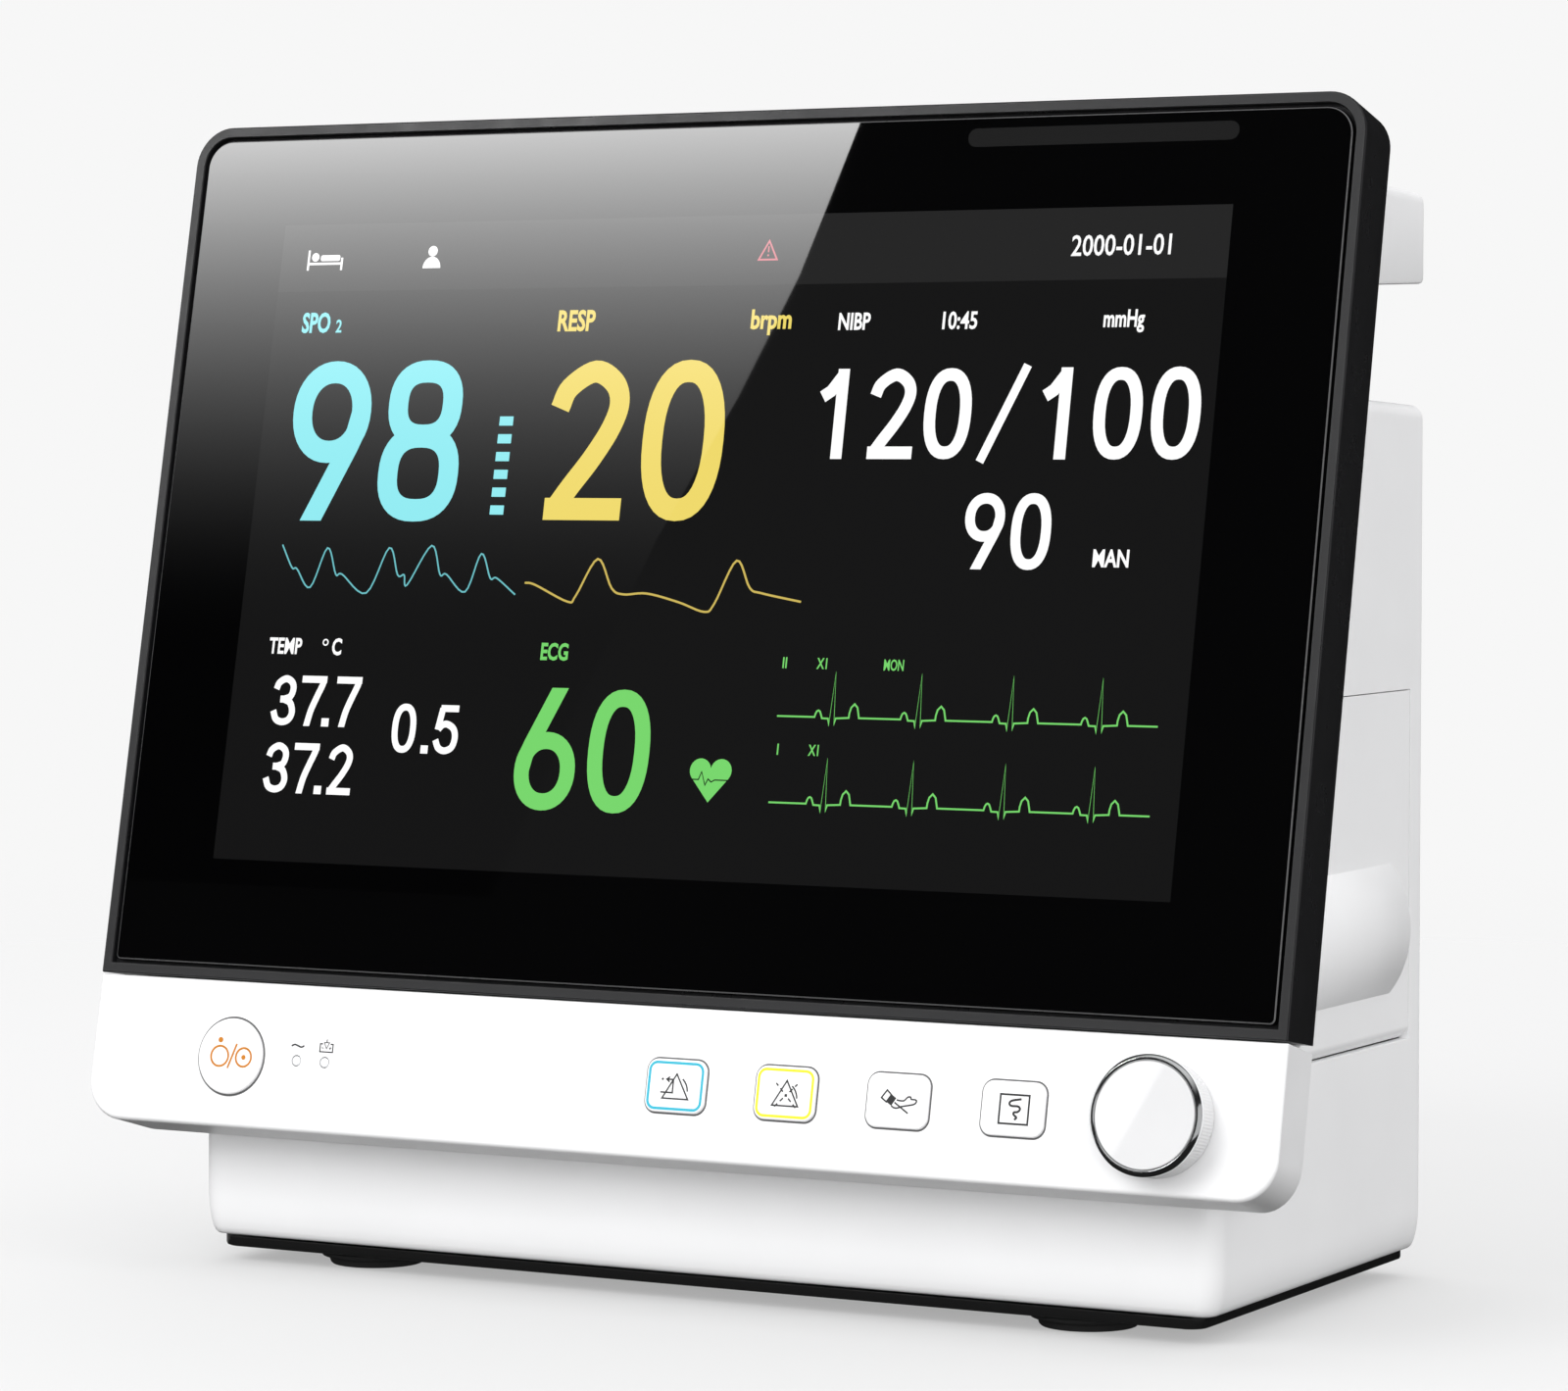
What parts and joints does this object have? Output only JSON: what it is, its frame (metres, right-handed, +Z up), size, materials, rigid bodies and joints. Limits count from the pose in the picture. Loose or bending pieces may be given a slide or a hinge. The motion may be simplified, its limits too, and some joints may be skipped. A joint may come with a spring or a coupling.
{
  "type": "patient monitor",
  "caption": "Bedside patient monitor: leaning screen with a control strip and trim knob, boxy rear housing, carrying handle and a side thermal recorder.",
  "frame": {"origin": "on the floor, below the middle of the monitor's bounding box", "axes": "+X to the viewer's right as seen from the front, +Y from the screen to the back, +Z up"},
  "size_m": [0.322, 0.1516, 0.2854],
  "materials": {
    "white_plastic": "fine moulded texture, satin",
    "black_plastic": "satin black",
    "cover_glass": "polished, black printed border",
    "screen_frame": "black coated",
    "key_plastic": "semi gloss",
    "light_guide": "clear polished",
    "chrome": "polished",
    "rubber": "matt",
    "sheet_metal": "plain",
    "steel": "zinc plated",
    "circuit_board": "solder mask",
    "socket_grey": "satin",
    "module_plastic": "plain",
    "thermal_paper": "smooth wound paper"
  },
  "bodies": {
    "monitor": {"control_panel": "white_plastic", "display_back_cover": "white_plastic", "main_housing": "white_plastic", "handle": "white_plastic", "display_bezel": "black_plastic", "bottom_plate": "black_plastic", "cover_glass": "cover_glass", "lcd_module": "screen_frame", "alarm_light_bar": "light_guide", "led_pipe_mains": "light_guide", "led_pipe_battery": "light_guide", "socket_nibp": "chrome", "foot_front_left": "rubber", "foot_front_right": "rubber", "foot_rear_left": "rubber", "foot_rear_right": "rubber", "display_chassis": "sheet_metal", "encoder": "sheet_metal", "print_head": "sheet_metal", "recorder_motor": "sheet_metal", "network_port": "sheet_metal", "usb_port": "sheet_metal", "internal_chassis": "sheet_metal", "power_supply": "sheet_metal", "nibp_pump": "sheet_metal", "recorder_hinge_pin": "steel", "equipotential_stud": "steel", "housing_screw_1": "steel", "housing_screw_2": "steel", "housing_screw_3": "steel", "housing_screw_4": "steel", "key_board": "circuit_board", "main_board": "circuit_board", "connector_panel": "socket_grey", "recorder_bay": "module_plastic", "battery": "module_plastic", "socket_ecg": "module_plastic", "socket_spo2": "module_plastic", "socket_temp_1": "module_plastic", "socket_temp_2": "module_plastic", "mains_inlet": "module_plastic", "nibp_valve": "module_plastic", "speaker": "module_plastic", "parameter_module": "module_plastic"},
    "power_button": {"power_button": "key_plastic"},
    "key_alarm_pause": {"key_alarm_pause": "key_plastic"},
    "key_alarm_silence": {"key_alarm_silence": "key_plastic"},
    "key_nibp": {"key_nibp": "key_plastic"},
    "key_print": {"key_print": "key_plastic"},
    "knob_plunger": {"encoder_plunger": "socket_grey"},
    "knob": {"knob_shaft": "steel", "knob_body": "key_plastic", "knob_ring": "chrome", "knob_cap": "key_plastic"},
    "recorder_door": {"recorder_door": "white_plastic"},
    "recorder_latch": {"recorder_latch": "socket_grey"},
    "platen": {"platen_roller": "rubber"},
    "paper_roll": {"paper_roll": "thermal_paper"},
    "battery_door": {"battery_door": "white_plastic"},
    "battery_latch": {"battery_latch": "socket_grey"}
  },
  "joints": [
    {"name": "power_button_press", "type": "slide", "parent": "monitor", "child": "power_button", "axis": [0, 0.9781, -0.2079], "range_m": [0, 0.001], "stiffness_N_per_m": 400, "springref_m": -0.002},
    {"name": "alarm_pause_press", "type": "slide", "parent": "monitor", "child": "key_alarm_pause", "axis": [0, 0.9781, -0.2079], "range_m": [0, 0.0008], "stiffness_N_per_m": 400, "springref_m": -0.002},
    {"name": "alarm_silence_press", "type": "slide", "parent": "monitor", "child": "key_alarm_silence", "axis": [0, 0.9781, -0.2079], "range_m": [0, 0.0008], "stiffness_N_per_m": 400, "springref_m": -0.002},
    {"name": "nibp_press", "type": "slide", "parent": "monitor", "child": "key_nibp", "axis": [0, 0.9781, -0.2079], "range_m": [0, 0.0008], "stiffness_N_per_m": 400, "springref_m": -0.002},
    {"name": "print_press", "type": "slide", "parent": "monitor", "child": "key_print", "axis": [0, 0.9781, -0.2079], "range_m": [0, 0.0008], "stiffness_N_per_m": 400, "springref_m": -0.002},
    {"name": "knob_press", "type": "slide", "parent": "monitor", "child": "knob_plunger", "axis": [0, 0.9781, -0.2079], "range_m": [0, 0.0004], "stiffness_N_per_m": 800, "springref_m": -0.002},
    {"name": "knob_turn", "type": "hinge", "parent": "knob_plunger", "child": "knob", "pos_m": [0.132, -0.06418, 0.05402], "axis": [0, -0.9781, 0.2079], "continuous": true},
    {"name": "recorder_door_swing", "type": "hinge", "parent": "monitor", "child": "recorder_door", "pos_m": [0.1359, 0.0265, 0.0629], "axis": [0, 1, 0], "range_deg": [0, 85]},
    {"name": "recorder_latch_press", "type": "slide", "parent": "recorder_door", "child": "recorder_latch", "axis": [-1, 0, 0], "range_m": [0, 0.0012], "stiffness_N_per_m": 300, "springref_m": -0.002},
    {"name": "paper_roll_turn", "type": "hinge", "parent": "monitor", "child": "paper_roll", "pos_m": [0.1193, 0.027, 0.0875], "axis": [0, 1, 0], "continuous": true},
    {"name": "platen_turn", "type": "hinge", "parent": "recorder_door", "child": "platen", "pos_m": [0.1298, 0.027, 0.1349], "axis": [0, 1, 0], "continuous": true},
    {"name": "battery_door_swing", "type": "hinge", "parent": "monitor", "child": "battery_door", "pos_m": [-0.086, 0.0736, 0.0186], "axis": [-1, 0, 0], "range_deg": [0, 100]},
    {"name": "battery_latch_slide", "type": "slide", "parent": "battery_door", "child": "battery_latch", "axis": [0, 0, -1], "range_m": [0, 0.0025], "stiffness_N_per_m": 200, "springref_m": -0.002}
  ],
  "couplings": [
    {"joint": "platen_turn", "follows": "paper_roll_turn", "ratio": 3.6667}
  ]
}
